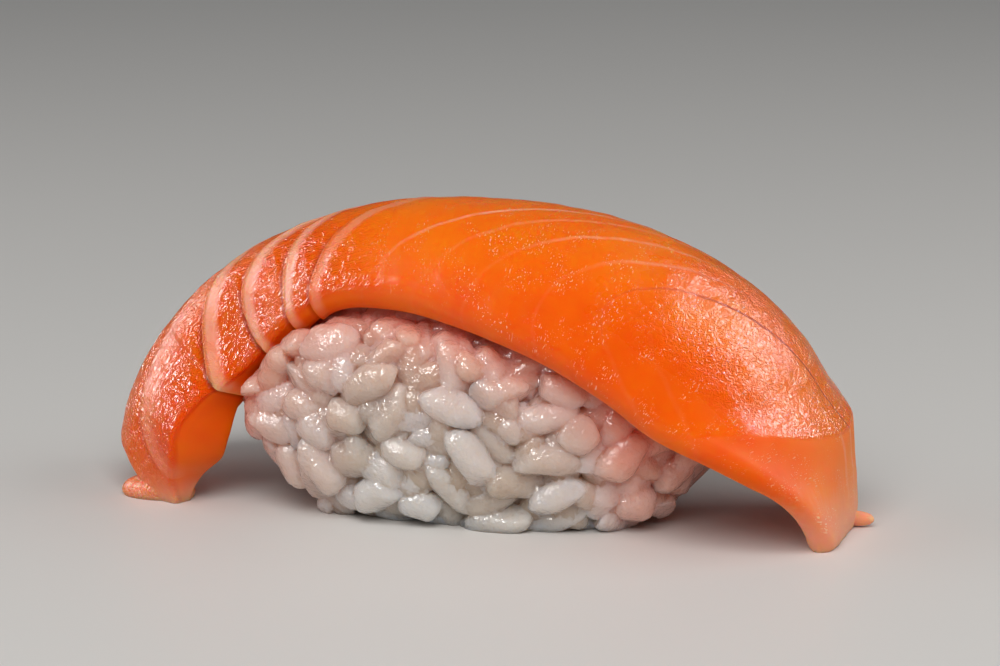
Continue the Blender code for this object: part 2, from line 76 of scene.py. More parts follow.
# How far in from each end the slice is rounded, and how much thinner its last ring is
END_ROUND, END_THINNER, END_NARROWER, END_TURNS, END_TURN_FROM = 1.7, 0.75, 0.06, 7, 84
TONGUE_CENTRE, TONGUE_HALF = (-34.8, -4.6, 0.6), (3.9, 2.3, 1.7)
SHRED_FROM, SHRED_TO, SHRED_RADIUS = (34.6, 1.2, 0.8), (37.9, 1.7, 0.9), 0.75

# Seams between flakes, each the curve u = start + bend * (v - middle) ** 2 over the slice:
# start, bend, middle, fat band's width, how pale the band is, and how deep the seam's
# crevices go, which also sets how strong their painted shade is
SEAMS = (
    (-56.5, 0.065, -22.0, 2.0, 0.40, 0.30),
    (-35.7, 0.037, -17.2, 0.95, 1.00, 0.60),
    (-26.7, 0.088, -10.8, 0.85, 1.00, 0.65),
    (-20.6, 0.042, -12.8, 0.65, 0.85, 0.50),
    (-17.2, 0.041, -16.2, 0.60, 0.55, 0.40),
    (-12.1, 0.077, -17.5, 0.34, 0.95, 0.0),
    (-5.0, 0.0725, -17.8, 0.40, 0.45, 0.0),
    (2.0, 0.085, -17.0, 0.36, 0.70, 0.0),
    (10.6, 0.094, -16.2, 0.36, 0.80, 0.0),
    (17.8, 0.178, -13.8, 0.42, 0.65, 0.0),
    (23.5, 0.275, -13.0, 0.42, 0.55, 0.0),
)
# Across a seam the flake on its left dips, a wall stands up, and the flake on its right
# starts high and falls away; it all fades towards the back
WALL_FROM, WALL_TO = -1.15, -0.8
DIP, DIP_OVER, LIP, LIP_OVER = 0.8, 0.8, 0.5, 2.6
SEAM_FADE_FROM, SEAM_FADE_OVER = 3.0, 9.0
FOOT_FADE_FROM, FOOT_FADE_OVER = -52.5, 4.0
FLAKE_CORNER, FLAKE_CORNER_OVER, FLAKE_CORNER_AT = 1.5, 1.8, -13.0
CREASE_AT, CREASE_BEND, CREASE_MIDDLE = 46.0, 0.03, -2.5
CREASE_SLOPE, CREASE_SPAN, CREASE_BEYOND, CREASE_ROUND = 0.24, 5.0, 7.0, 0.12
CREASE_FADE_FROM, CREASE_FADE_OVER = -18.0, 5.0
# A small oval mark on one flake: where it is, its half sizes, its turn and its rim
MARK_AT, MARK_HALF, MARK_TURN = (-30.05, -7.4), (0.95, 0.6), 52
MARK_HEIGHT, MARK_RIM = 0.13, 0.3
# The cluster of glints near the right tip: its place and its reach
TIP_GLINTS = (53.0, -10.5, 2.0)
# The groove through the wrinkled patch at the right, with painted shade along it: start, bend,
# middle
GROOVE = (17.8, 0.178, -13.8)
# How far apart the rings along the slice are: close where it flakes, wider elsewhere
FLAKED_STEP, PLAIN_STEP, FLAKED_UP_TO = 0.22, 0.42, -8.0
# Spots round a ring: over its outer and inner face, in each rounding and down each cut
OUTER_SPOTS, INNER_SPOTS, CORNER_SPOTS, CUT_SPOTS = 128, 30, 4, 11
# Soft unevenness: height, how often along and across the flesh, place in the noise
WAVES = ((0.10, 0.28, 0.35, 1.0), (0.05, 0.75, 0.6, 7.0))
# How fast the outer face's relief fades down the cut
RELIEF_FADE = 2.2

# Where the looks of the slice change, as from and to in millimetres of the flesh
FLAKED_FADE, FAT_FADE, OUTER_FACE = (-17.0, -5.0), (-12.0, -2.0), (0.25, 1.1)
# These bound the painted shade in the crevices: across the slice and along it
CREVICE_ACROSS, CREVICE_ALONG = (-9.0, 1.0), (-52.5, -48.5)
PATCH_ALONG, PATCH_ACROSS, PATCH_UNEVEN = (17.0, 31.0), (-18.0, -11.0), 12
RIGHT_TIP, LEFT_TIP = (45.0, 55.0), (-56.5, -53.0)
RIGHT_FOOT, LEFT_FOOT = (50.0, 55.5), (-57.5, -50.5)
GROOVE_HALF, CALM_FADE, GLINTS_FROM = (0.03, 0.22), (-53.0, -43.0), (-12.0, -4.0)
# The painted shade along the lower edge and on the cut face reaches over these
LOW_ACROSS, LOW_DEEP = (-9.0, -15.0), (0.4, 2.0)
# How a fat line wanders: how often in a millimetre, and how far
WANDER_WIDE, WANDER_FINE = (0.22, 0.9), (1.8, 0.14)
# How often in a millimetre the flesh changes, or how often along, across and inwards
BREAKS, MOTTLES, FIBRES, DOTS, DASHES = 0.7, 0.12, (0.35, 2.4, 1.0), 5.2, (5.6, 1.7, 1.0)
CRINKLES, CRINKLE_TURN, WORMS, COARSE = (0.95, 2.3, 1.0), -0.25, 2.0, 0.6
# The share of noise above which a dot or a dash of glint shows, and the glints' painted highlight
# colour
GLINT_SHARE, GLINT_COLOUR = (0.72, 0.77), (1.0, 0.66, 0.42, 1.0)
# The flesh's roughness, how much rougher it is where dull and smoother where wet
FLESH_ROUGHNESS, DULL_ROUGHNESS, WET_ROUGHNESS = 0.30, 0.5, 0.18

# The core of the rice under the grains that show
CORE_HALF, CORE_MIDDLE = (25.5, 11.4, 14.2), (-2.3, 0.3, 12.4)
CORE_PLAN_POWER, CORE_TOP_POWER, CORE_FOOT_POWER = 2.3, 2.3, 2.6
CORE_ROUND_STEPS, CORE_RISE_STEPS = 40, 18
# The flat presses low on its ends: each one's outward lean in X and Z, and its reach
PRESSES = (((-0.63, -0.78), 8.6), ((0.81, -0.59), 12.4))
SLICE_GAP, CORE_GAP, CORE_SHRINK = 0.3, 0.9, 0.985
SINK_STEP, SINK_TRIES = 0.4, 6
# How uneven a grain is: dents by share of its size, and the flats that its neighbours press
DENT, DENT_FINE, SMALL_DENT, SMALL_DENT_FINE = 0.15, 0.5, 0.04, 1.6
FLATS, FLAT_SHARE, FLAT_COUNTS = (0.62, 0.92), 0.88, (3, 4, 5)
# A grain's most taper and bend, how blunt its ends are, its mesh, and its reach of noise
TAPER, BEND, BEND_MIDDLE, GRAIN_BLUNT = 0.16, 0.06, 0.3, 2.5
GRAIN_SIDES, GRAIN_RINGS, NOISE_REACH = 18, 13, 90
# The grains at the front come out a little longer and wider than they are listed
FRONT_LONGER, FRONT_WIDER = 1.08, 1.15
# The other grains: how much flatter than wide, how far they tilt, how their size varies
GRAIN_FLATTER, LOOSE_TILT, LOOSE_SIZES = 0.9, 0.35, (0.85, 1.1)
# How far they stand out, how far apart they are and how many throws, in each layer
OUTER_LAYER, INNER_LAYER = ((-0.4, 0.3), 2.1, 9000), ((-0.3, 0.3), 2.0, 7000)
# The inner layer lies on the core brought in to this share of its size
INNER_SHARE = 0.965
# The rice's fine pits: their depth in metres
PIT_DEPTH = 0.00013
# The underside of the block, which gets no grains: below this height and facing down
UNDERSIDE_BELOW, UNDERSIDE_FACING = 1, -0.5
# Where along a grain its three marks are, and the distance where there is no mark yet
MARK_SHARES, NO_MARK = (-0.3, 0, 0.3), 99
# How strongly pink light from the salmon is painted on the rice: over this distance, and more at
# the two ends
BOUNCE_OVER, BOUNCE_LEFT, BOUNCE_RIGHT, BOUNCE_FROM = 4.0, 0.15, 0.5, 11.0

# The grains that show at the front: X, height, lean in degrees, length, width, and how
# far the grain's middle stands out of the core
FRONT_FROM = -40.0
FRONT_GRAINS = (
    (-13.3, 20.3, 60, 4.2, 2.7, -0.2), (-10.0, 19.8, 65, 3.7, 2.3, 0.4),
    (-14.6, 17.8, 5, 6.0, 3.4, 0.7), (-15.1, 14.9, -60, 4.4, 3.7, 0.3),
    (-6.3, 19.2, -60, 4.2, 3.2, 0.6), (-9.0, 17.4, 20, 3.9, 2.5, -0.3),
    (-2.1, 18.2, -15, 5.4, 3.0, 0.0), (-9.9, 14.7, 25, 6.2, 3.2, 0.8),
    (-4.2, 15.9, 70, 3.0, 2.2, 0.0), (-12.5, 11.1, -10, 4.2, 3.0, 0.8),
    (-7.9, 12.0, 55, 6.2, 3.2, 0.6), (-1.7, 12.8, -25, 6.6, 3.4, 0.7),
    (2.9, 14.5, 5, 5.7, 3.0, 0.6), (5.5, 16.4, -60, 4.9, 2.7, 0.2),
    (9.0, 14.8, -20, 4.9, 2.7, 0.5), (1.0, 18.7, -25, 3.7, 2.0, -0.2),
    (-17.5, 11.6, 0, 4.2, 3.0, 0.4), (-15.9, 9.4, -40, 4.4, 3.2, 0.3),
    (-18.8, 8.8, -70, 3.7, 2.2, 0.0), (-15.7, 5.8, -55, 5.7, 3.2, 0.8),
    (-11.9, 7.0, 85, 4.9, 2.5, -0.1), (-19.2, 5.2, -70, 4.9, 2.7, 0.3),
    (-6.8, 8.0, -10, 4.4, 3.2, 0.5), (-4.2, 9.7, 10, 4.2, 2.2, 0.1),
    (0.2, 7.9, -55, 6.6, 3.2, 0.9), (-3.5, 7.2, 10, 3.0, 1.5, 0.4),
    (2.7, 9.6, 80, 3.2, 2.2, -0.2), (4.9, 12.2, 30, 2.7, 2.0, 0.1),
    (4.4, 10.7, -60, 2.7, 2.5, 0.5), (7.8, 12.2, 8, 5.7, 2.7, 0.5),
    (10.7, 10.6, -20, 3.7, 3.6, 0.8), (7.3, 8.0, -3, 6.9, 3.0, 0.7),
    (14.0, 10.9, 60, 3.7, 3.0, 0.1), (14.7, 8.3, 41, 6.2, 3.2, 0.7),
    (-9.8, 3.6, 40, 6.6, 3.2, 0.8), (-13.0, 2.6, -20, 3.2, 2.5, 0.4),
    (-15.1, 1.9, -30, 4.9, 2.7, -0.1), (-5.4, 2.6, -10, 4.4, 3.0, 0.7),
    (-2.1, 4.5, -50, 6.4, 2.7, 0.4), (-4.1, 0.8, -5, 4.4, 2.0, 0.0),
    (2.3, 1.6, 20, 6.4, 3.2, 1.0), (2.2, 4.5, 0, 4.9, 2.2, -0.3),
    (8.3, 4.4, 30, 5.9, 2.7, 0.9), (7.4, 1.5, 28, 7.6, 2.5, 0.6),
    (4.7, 5.2, 0, 3.0, 2.2, 0.0), (12.5, 4.0, 60, 4.9, 3.4, 0.0),
    (15.4, 3.5, -30, 3.9, 3.7, 0.5), (18.8, 6.4, 20, 4.9, 2.7, 0.5),
    (18.2, 3.4, -45, 4.2, 2.7, 0.5), (16.5, 9.8, 40, 4.9, 2.5, 0.0),
    (-9.1, 0.9, 0, 4.2, 2.0, 0.1), (9.0, 0.4, 15, 4.9, 2.2, 0.0),
)

# Lamps: name, azimuth from the front, elevation, distance in metres, width and height,
# watts, whether the lamp shows as a shine or lights the flesh and the rice, and the
# piece that it is for, where it is for one only
LAMPS = (
    ("left_shine", -80, 24, 0.42, (0.25, 0.18), 4.8, True, "salmon"),
    ("right_shine", 112, 40, 0.42, (0.34, 0.22), 4.6, True, "salmon"),
    ("rice_shine", -40, 34, 0.42, (0.19, 0.15), 3.2, True, "rice"),
    ("rice_light", 55, 12, 0.42, (0.30, 0.16), 0.15, False, "rice"),
    ("left_light", -70, 25, 0.42, (0.40, 0.30), 0.35, False, ""),
    ("right_light", 95, 35, 0.42, (0.40, 0.30), 0.5, False, ""),
    ("top_light", 10, 46, 0.80, (0.60, 0.60), 5.4, False, ""),
)
LAMP_COLOUR, LAMP_TARGET = (1.0, 0.98, 0.96), (0.0, 0.0, 0.015)
SKY_COLOUR, SKY_STRENGTH, SENSOR_WIDTH = (0.9, 0.95, 1.0, 1.0), 0.09, 36
TABLE_HALF, TABLE_CLOUD, TABLE_ROUGHNESS = 2500, (0.60, 0.60, 0.59, 1.0), 0.55


def colour_property(name, description, default):
    """A colour that can be set in the panel."""
    return FloatVectorProperty(
        name=name, description=description, default=(*default, 1.0), size=4, subtype="COLOR"
    )


class SalmonSettings(bpy.types.PropertyGroup):
    """Sizes and colours of the salmon slice."""

    wrinkle: FloatProperty(
        name="Wrinkle height", description="Height of the fine wrinkles of the cut face",
        default=0.00006, min=0.0, unit="LENGTH",
    )
    flesh: colour_property("Flesh", "Colour of the flesh", (0.95, 0.194, 0.001))
    # Deep flesh is a darker tone that the flesh has in random clouds, and also painted shade along
    # the lower edge, on the cut face and over the flaked left part
    deep: colour_property(
        "Deep flesh", "Colour of the darker clouds and of the lower edge", (0.84, 0.094, 0.0005)
    )
    # Painted shade: the dark colour put in the crevices at the foot of each wall, and along the
    # groove in the right patch
    crevice_shade: colour_property(
        "Crevice", "Colour in the crevices between flakes", (0.42, 0.024, 0.0008)
    )
    fat: colour_property("Fat", "Colour of the fat lines", (0.94, 0.35, 0.21))
    pale: colour_property("Pale ends", "Colour of the flesh at its thin ends", (0.93, 0.29, 0.12))


class RiceSettings(bpy.types.PropertyGroup):
    """Sizes and colours of the cooked rice."""

    length: FloatProperty(
        name="Grain length", description="Length of a cooked grain", default=0.0066, unit="LENGTH"
    )
    width: FloatProperty(
        name="Grain width", description="Width of a cooked grain", default=0.0036, unit="LENGTH"
    )
    seed: IntProperty(name="Seed", description="How the loose grains fall", default=41)
    colour: colour_property("Rice", "Colour of the rice", (0.65, 0.62, 0.60))
    # Deep rice is a darker tone that some grains have at random, and also painted shade on the
    # inner grains deep in the gaps
    gap: colour_property("Deep rice", "Colour of the grains deep in the gaps", (0.46, 0.37, 0.29))
    # Painted light: the pink that light from the salmon casts on the rice beside it
    salmon_bounce: colour_property("Blush", "Colour of the rice beside the salmon", (0.80, 0.31, 0.23))


class StageSettings(bpy.types.PropertyGroup):
    """The table, the lights and the camera."""

    azimuth: FloatProperty(
        name="Azimuth", description="The camera's turn to the right of the front",
        default=math.radians(15), subtype="ANGLE",
    )
    elevation: FloatProperty(
        name="Elevation", description="The camera's angle above the table",
        default=math.radians(12), subtype="ANGLE",
    )
    distance: FloatProperty(
        name="Distance", description="From the camera to what it looks at",
        default=0.4, unit="LENGTH",
    )
    target: FloatVectorProperty(
        name="Target", description="What the camera looks at", subtype="TRANSLATION",
        default=(0.0, 0.0, 0.0179),
    )
    lens: FloatProperty(name="Lens", description="Focal length in millimetres", default=144.0)
    table: colour_property("Table", "Colour of the table", (0.72, 0.71, 0.69))


class Wire:
    """A socket of a material, which can be used in sums like a number."""

    def __init__(self, tree, socket=None):
        self.tree, self.socket = tree, socket

    def node(self, kind, settings=None, inputs=None, output=0):
        """Adds a node: first its settings, then the values or links of its sockets."""
        made = self.tree.nodes.new(kind)
        for name, value in (settings or {}).items():
            setattr(made, name, value)
        by_name = {s.identifier: s for s in made.inputs}
        for key, value in (inputs or {}).items():
            socket = made.inputs[key] if isinstance(key, int) else by_name[key]
            if isinstance(value, Wire):
                self.tree.links.new(value.socket, socket)
            else:
                socket.default_value = value
        return Wire(self.tree, made.outputs[output])

    def maths(self, operation, *values):
        return self.node("ShaderNodeMath", {"operation": operation}, dict(enumerate(values)))

    def __add__(self, other):
        return self.maths("ADD", self, other)

    def __radd__(self, other):
        return self.maths("ADD", other, self)

    def __sub__(self, other):
        return self.maths("SUBTRACT", self, other)

    def __rsub__(self, other):
        return self.maths("SUBTRACT", other, self)

    def __mul__(self, other):
        return self.maths("MULTIPLY", self, other)

    def __rmul__(self, other):
        return self.maths("MULTIPLY", other, self)

    def __truediv__(self, other):
        return self.maths("DIVIDE", self, other)

    def __pow__(self, other):
        return self.maths("POWER", self, other)

    def __abs__(self):
        return self.maths("ABSOLUTE", self)

    def most(self, other):
        return self.maths("MAXIMUM", self, other)

    def least(self, other):
        return self.maths("MINIMUM", self, other)

    def rise(self, low, high):
        """0 below low and 1 above high, with a smooth step between."""
        sockets = {"Value": self, "From Min": low, "From Max": high}
        return self.node("ShaderNodeMapRange", {"interpolation_type": "SMOOTHSTEP"}, sockets)

    def stretched(self, x, y, z):
        return self.node(
            "ShaderNodeVectorMath", {"operation": "MULTIPLY"}, {0: self, 1: (x, y, z)}
        )

    def grain(self, scale, detail=2.0, roughness=0.5, distortion=0.0):
        """Noise over this vector, from 0 to 1."""
        sockets = {"Vector": self, "Scale": scale, "Detail": detail}
        sockets |= {"Roughness": roughness, "Distortion": distortion}
        return self.node("ShaderNodeTexNoise", {}, sockets)

    def bump(self, depth):
        """The normal that this height gives, at a depth in metres."""
        sockets = {"Strength": 1.0, "Distance": depth, "Height": self}
        return self.node("ShaderNodeBump", {}, sockets)

    def blend(self, first, second):
        """Mixes two colours by this share."""
        sockets = {"Factor_Float": self, "A_Color": first, "B_Color": second}
        return self.node("ShaderNodeMix", {"data_type": "RGBA"}, sockets, output=2)


def new_material(name, fixed):
    """A material, its wires and its shader, with the shader's fixed values set."""
    material = bpy.data.materials.new(name)
    material.use_nodes = True
    shader = material.node_tree.nodes["Principled BSDF"]
    for socket, value in fixed.items():
        shader.inputs[socket].default_value = value
    return material, Wire(material.node_tree), shader


def feed(wire, shader, socket):
    """Links a wire to one of the shader's sockets."""
    wire.tree.links.new(wire.socket, shader.inputs[socket])


def split(vector):
    """The three parts of a vector."""
    return [vector.node("ShaderNodeSeparateXYZ", {}, {0: vector}, output=k) for k in range(3)]


def seam_off(u, v, start, bend, middle):
    """How far a spot lies to the right of a seam, in millimetres along the slice."""
    lean = (v - middle) * (2 * bend)
    return (u - start - (v - middle) * (v - middle) * bend) / (lean * lean + 1) ** 0.5


def wandering(flesh, scale, reach):
    """How far a fat line strays here."""
    return (flesh.grain(scale, 1.0) - 0.5) * reach


def fat_and_crevice_shade(flesh, u, v):
    """How much fat shows, and how much painted shade a spot of the slice gets in the crevices."""
    wander = wandering(flesh, *WANDER_WIDE) + wandering(flesh, *WANDER_FINE)
    broken = flesh.grain(BREAKS, 3.0, 0.6).rise(0.25, 0.7)
    low = 1 - v.rise(*FAT_FADE)
    fat, crevice_shade = None, None
    for start, bend, middle, width, pale, depth in SEAMS:
        off = seam_off(u, v, start, bend, middle)
        if depth:
            soft = off + wander * 0.4
            band = soft.rise(-0.9, -0.3) * (1 - soft.rise(width * 0.1, width * 1.5))
            band = band * (broken * 0.35 + 0.75)
            # Painted shade: a dark strip in the crevices at the foot of each wall, darkest near the
            # wall and low on the slice
            near = off.rise(WALL_FROM - 0.8, WALL_FROM + 0.1)
            near = near * (1 - off.rise(WALL_TO - 0.2, WALL_TO + 0.2))
            near = near * (1 - v.rise(*CREVICE_ACROSS)) * u.rise(*CREVICE_ALONG) * (depth * 1.4)
            crevice_shade = near if crevice_shade is None else crevice_shade.most(near)
        else:
            band = (1 - abs(off + wander * 0.7).rise(width * 0.1, width)) * (1 - low * 0.92)
            band = band * (broken * 0.7 + 0.5)
        band = band * pale
        fat = band if fat is None else fat.most(band)
    return fat.least(1.0), crevice_shade.least(1.0)


def salmon_material(salmon):
    """Wet raw flesh: fat lines over the slice, fine wrinkles, painted glints, and painted shade in
    the crevices, along the lower edge and over the flaked left part.
    """
    material, wire, shader = new_material(
        "salmon flesh",
        {
            "Subsurface Weight": 1.0,
            "Subsurface Radius": (1.0, 0.25, 0.05),
            "Subsurface Scale": 0.0028,
            "Specular IOR Level": 0.24,
        },
    )
    flesh = wire.node("ShaderNodeAttribute", {"attribute_name": "flesh"}, output=1)
    u, v, deep = split(flesh)
    fat, crevice_shade = fat_and_crevice_shade(flesh, u, v)
    face = 1 - deep.rise(*OUTER_FACE)
    left = (1 - u.rise(*FLAKED_FADE)) * face
    crease = u + (v - CREASE_MIDDLE) * (v - CREASE_MIDDLE) * CREASE_BEND
    beyond = crease.rise(CREASE_AT - 0.5, CREASE_AT + 0.3)
    uneven = (flesh.grain(0.35, 2.0) - 0.5) * PATCH_UNEVEN
    patch = (crease + uneven).rise(*PATCH_ALONG) * (1 - beyond) * face * v.rise(*PATCH_ACROSS)
    tips = u.rise(*RIGHT_TIP).most(1 - u.rise(*LEFT_TIP))
    foot = u.rise(*RIGHT_FOOT).most(1 - u.rise(*LEFT_FOOT))
    # Painted shade along the groove through the wrinkled patch, which is also cut in as a bump
    groove = (1 - abs(seam_off(u, v, *GROOVE)).rise(*GROOVE_HALF)) * patch

    mottle = flesh.grain(MOTTLES, 2.0).rise(0.3, 0.7)
    low = v.rise(*LOW_ACROSS).most(deep.rise(*LOW_DEEP))
    # Darker in random clouds, the flesh's own tone, and towards the lower edge, the cut face and
    # the flaked left part, which is painted shade
    darker = (mottle * 0.35 + low * 0.5 + left * 0.5).least(1.0)
    colour = darker.blend(tuple(salmon.flesh), tuple(salmon.deep))
    fibres = flesh.stretched(*FIBRES).grain(1.0, 2.0).rise(0.3, 0.75)
    pale = (tips * (0.35 + fibres * 0.5)).least(1.0)
    colour = pale.blend(colour, tuple(salmon.pale))
    shown = (fat * (1 - deep.rise(0.5, 2.5) * 0.7) * (1 - patch * 0.85)).most(foot * 0.85)
    colour = shown.blend(colour, tuple(salmon.fat))
    # Painted shade in the crevices and along the groove
    colour = crevice_shade.most(groove * 0.7).blend(colour, tuple(salmon.crevice_shade))
    tip_u, tip_v, reach = TIP_GLINTS
    at_tip = ((u - tip_u) ** 2 + (v - tip_v) ** 2).rise(reach**2, 0.5)
    sprinkled = flesh.grain(0.3, 1.0).rise(0.42, 0.66).most(at_tip * 1.5)
    dots = flesh.grain(DOTS, 0.0).rise(*GLINT_SHARE)
    dashes = flesh.stretched(*DASHES).grain(1.0, 0.0).rise(*GLINT_SHARE)
    glints = dots.most(dashes) * sprinkled * u.rise(*GLINTS_FROM) * face
    # Painted highlight: the glints are also painted pale into the base colour, besides their bump
    # and low roughness
    colour = (glints * 0.6).blend(colour, GLINT_COLOUR)
    feed(colour, shader, "Base Color")

    slant = flesh.node(
        "ShaderNodeVectorRotate",
        {"rotation_type": "Z_AXIS"},
        {"Vector": flesh, "Angle": CRINKLE_TURN},
    )
    crinkle = slant.stretched(*CRINKLES).grain(1.0, 2.0, 0.5, 0.8)
    crinkle = 1 - abs(crinkle * 2 - 1)
    worm = 1 - abs(flesh.grain(WORMS, 1.5, 0.45, 0.8) * 2 - 1)
    coarse = flesh.grain(COARSE, 1.0)
    rough = left * (1 - fat * 0.85)
    calm = left * (1 - u.rise(*CALM_FADE))
    height = crinkle * crinkle * (rough * 2.2) + worm * worm * (patch * 1.2 + 0.03)
    height = height + coarse * (rough * 3.5 + patch * 2.4 + 0.3) + glints * 0.5 - groove * 1.5
    feed(height.bump(salmon.wrinkle), shader, "Normal")
    wet = (rough * (1 - crevice_shade) * (1 - calm * 0.7) + patch + glints).least(1.0)
    dull = fat * left * 0.6 + crevice_shade * 1.2 + deep.rise(0.15, 0.9) * 0.5
    dull = (dull + beyond * 0.8 + calm * 0.4).least(1.0)
    roughness = FLESH_ROUGHNESS + dull * DULL_ROUGHNESS - wet * WET_ROUGHNESS
    feed(roughness, shader, "Roughness")
    return material


def rice_material(rice):
    """Cooked rice: moist, translucent, each grain a little different, with pink light from the
    salmon painted on it and painted shade on the grains deep in the gaps.
    """
    material, wire, shader = new_material(
        "cooked rice",
        {
            "Subsurface Weight": 1.0,
            "Subsurface Radius": (1.0, 0.80, 0.62),
            "Subsurface Scale": 0.006,
            "IOR": 1.4,
        },
    )
    look = wire.node("ShaderNodeAttribute", {"attribute_name": "look"}, output=1)
    tint, salmon_bounce, sunk = split(look)
    place = wire.node("ShaderNodeTexCoord", {}, output=3)
    cloud = place.grain(350.0, 3.0, 0.55)
    # The inner grains are painted darker as painted shade deep in the gaps; each grain's own tint
    # and a random cloud add the rice's real tone
    shade = (tint * tint * 0.6 + sunk * 0.6 + cloud * 0.2).least(1.0)
    colour = shade.blend(tuple(rice.colour), tuple(rice.gap))
    # Painted light: the rice is tinted pink by how near it lies to the salmon, as light from the
    # salmon would tint it
    colour = (salmon_bounce * (cloud * 0.5 + 0.7)).least(1.0).blend(colour, tuple(rice.salmon_bounce))
    feed(colour, shader, "Base Color")
    pits = place.grain(3200.0, 1.0, 0.6) * 0.9 + place.grain(1300.0, 1.0) * 1.8
    feed(pits.bump(PIT_DEPTH), shader, "Normal")
    feed(0.08 + cloud * 0.12, shader, "Roughness")
    return material


def object_of(name, points, faces):
    """A mesh object from points in millimetres."""
    mesh = bpy.data.meshes.new(name)
    mesh.from_pydata((np.asarray(points, float) * MM).tolist(), [], faces)
    mesh.validate()
    made = bpy.data.objects.new(name, mesh)
    bpy.context.scene.collection.objects.link(made)
    return made


def smooth_curve(at, knots, values):
    """A smooth curve through values at knots, read at each of at."""
    knots, values = np.array(knots, float), np.array(values, float)
    slopes = np.gradient(values, knots)
    at = np.clip(at, knots[0], knots[-1])
    i = np.clip(np.searchsorted(knots, at) - 1, 0, len(knots) - 2)
    span = knots[i + 1] - knots[i]
    x = (at - knots[i]) / span
    return (
        values[i] * (1 + 2 * x) * (1 - x) ** 2
        + slopes[i] * span * x * (1 - x) ** 2
        + values[i + 1] * x * x * (3 - 2 * x)
        - slopes[i + 1] * span * x * x * (1 - x)
    )


def arch_table():
    """Lengths from the crown, and the arch's points in X and Z, from left to right."""
    angle = np.linspace(math.pi, 0, ARCH_STEPS + 1)
    left = angle > math.pi / 2
    power = 2 / np.where(left, ARCH_POWER_LEFT, ARCH_POWER_RIGHT)
    reach = np.where(left, -ARCH_LEFT, ARCH_RIGHT)
    x = reach * np.abs(np.cos(angle)) ** power
    z = ARCH_HEIGHT * np.maximum(np.sin(angle), 0) ** power
    tuck = np.where(left, LEFT_TUCK, -RIGHT_TUCK)
    x += ARCH_MIDDLE + tuck * np.maximum(1 - z / TUCK_BELOW, 0) ** 2
    x = np.concatenate([[x[0] + LEFT_TUCK * 2], x, [x[-1] - RIGHT_TUCK * 2]])
    z = np.concatenate([[-TUCK_BELOW], z, [-TUCK_BELOW]])
    length = np.concatenate([[0], np.cumsum(np.hypot(np.diff(x), np.diff(z)))])
    return length - length[len(x) // 2], x, z


ARCH = arch_table()


def arch_frame(u):
    """The arch's points at lengths u, and its outward normals there, in X and Z."""
    length, x, z = ARCH
    here = np.stack([np.interp(u, length, x), np.interp(u, length, z)], -1)
    low, high = u - SLOPE_STEP, u + SLOPE_STEP
    along = [np.interp(high, length, k) - np.interp(low, length, k) for k in (x, z)]
    along = np.stack(along, -1)
    along /= np.linalg.norm(along, axis=-1, keepdims=True)
    return here, np.stack([-along[..., 1], along[..., 0]], -1)


def slice_width(u, t):
    """The width of flesh from the crown line to the edge on t's side, at u."""
    front = smooth_curve(u, STATIONS, FRONT_WIDTH) + flake_corners(u)
    return np.where(t < 0, front, smooth_curve(u, STATIONS, BACK_WIDTH))


def flake_corners(u):
    """How far each flake's left corner hangs lower than the cut edge."""
    out = 0 * u
    for start, bend, middle, _, _, depth in SEAMS[1:]:
        past = u - start - bend * (FLAKE_CORNER_AT - middle) ** 2 - WALL_TO
        hang = np.where(past > 0, np.exp(-past / FLAKE_CORNER_OVER), 0)
        out = out + depth * FLAKE_CORNER * hang
    return out


def oval_mark(u, v):
    """The raised rim of a small oval mark on one flake."""
    (middle_u, middle_v), (long_way, short_way) = MARK_AT, MARK_HALF
    turn = math.radians(MARK_TURN)
    along = (u - middle_u) * math.cos(turn) + (v - middle_v) * math.sin(turn)
    across = (v - middle_v) * math.cos(turn) - (u - middle_u) * math.sin(turn)
    out = np.hypot(along / long_way, across / short_way)
    return MARK_HEIGHT * np.exp(-(((out - 1) / MARK_RIM) ** 2))


def relief(u, v):
    """How far the outer face stands out: layered flakes, a small mark and a crease."""
    out = 0 * u
    for start, bend, middle, _, _, depth in SEAMS:
        if not depth:
            continue
        off = seam_off(u, v, start, bend, middle)
        fade = depth * np.clip((SEAM_FADE_FROM - v) / SEAM_FADE_OVER, 0, 1)
        fade = fade * np.clip((u - FOOT_FADE_FROM) / FOOT_FADE_OVER, 0, 1)
        step = np.clip((off - WALL_FROM) / (WALL_TO - WALL_FROM), 0, 1)
        step = step * step * (3 - 2 * step)
        low = -DIP * np.exp(np.minimum(off - WALL_FROM, 0) / DIP_OVER)
        high = LIP * np.exp(-np.maximum(off - WALL_TO, 0) / LIP_OVER)
        out = out + fade * (low * (1 - step) + high * step)
    out = out + oval_mark(u, v)
    off = u - CREASE_AT + CREASE_BEND * (v - CREASE_MIDDLE) ** 2
    span = np.where(off < 0, CREASE_SPAN, CREASE_BEYOND)
    near = np.exp(-((off / span) ** 2))
    near = near * np.clip((v - CREASE_FADE_FROM) / CREASE_FADE_OVER, 0, 1)
    return out + CREASE_SLOPE * near * (CREASE_SPAN / 3 - np.hypot(off, CREASE_ROUND))


def waves(u, v):
    """Soft unevenness of the flesh, 1 to 4 mm across."""
    flat = np.stack(np.broadcast_arrays(u, v), -1).reshape(-1, 2)
    rough = [
        sum(high * noise.noise(Vector((a * x, b * y, z))) for high, x, y, z in WAVES)
        for a, b in flat
    ]
    return np.array(rough).reshape(np.shape(u))


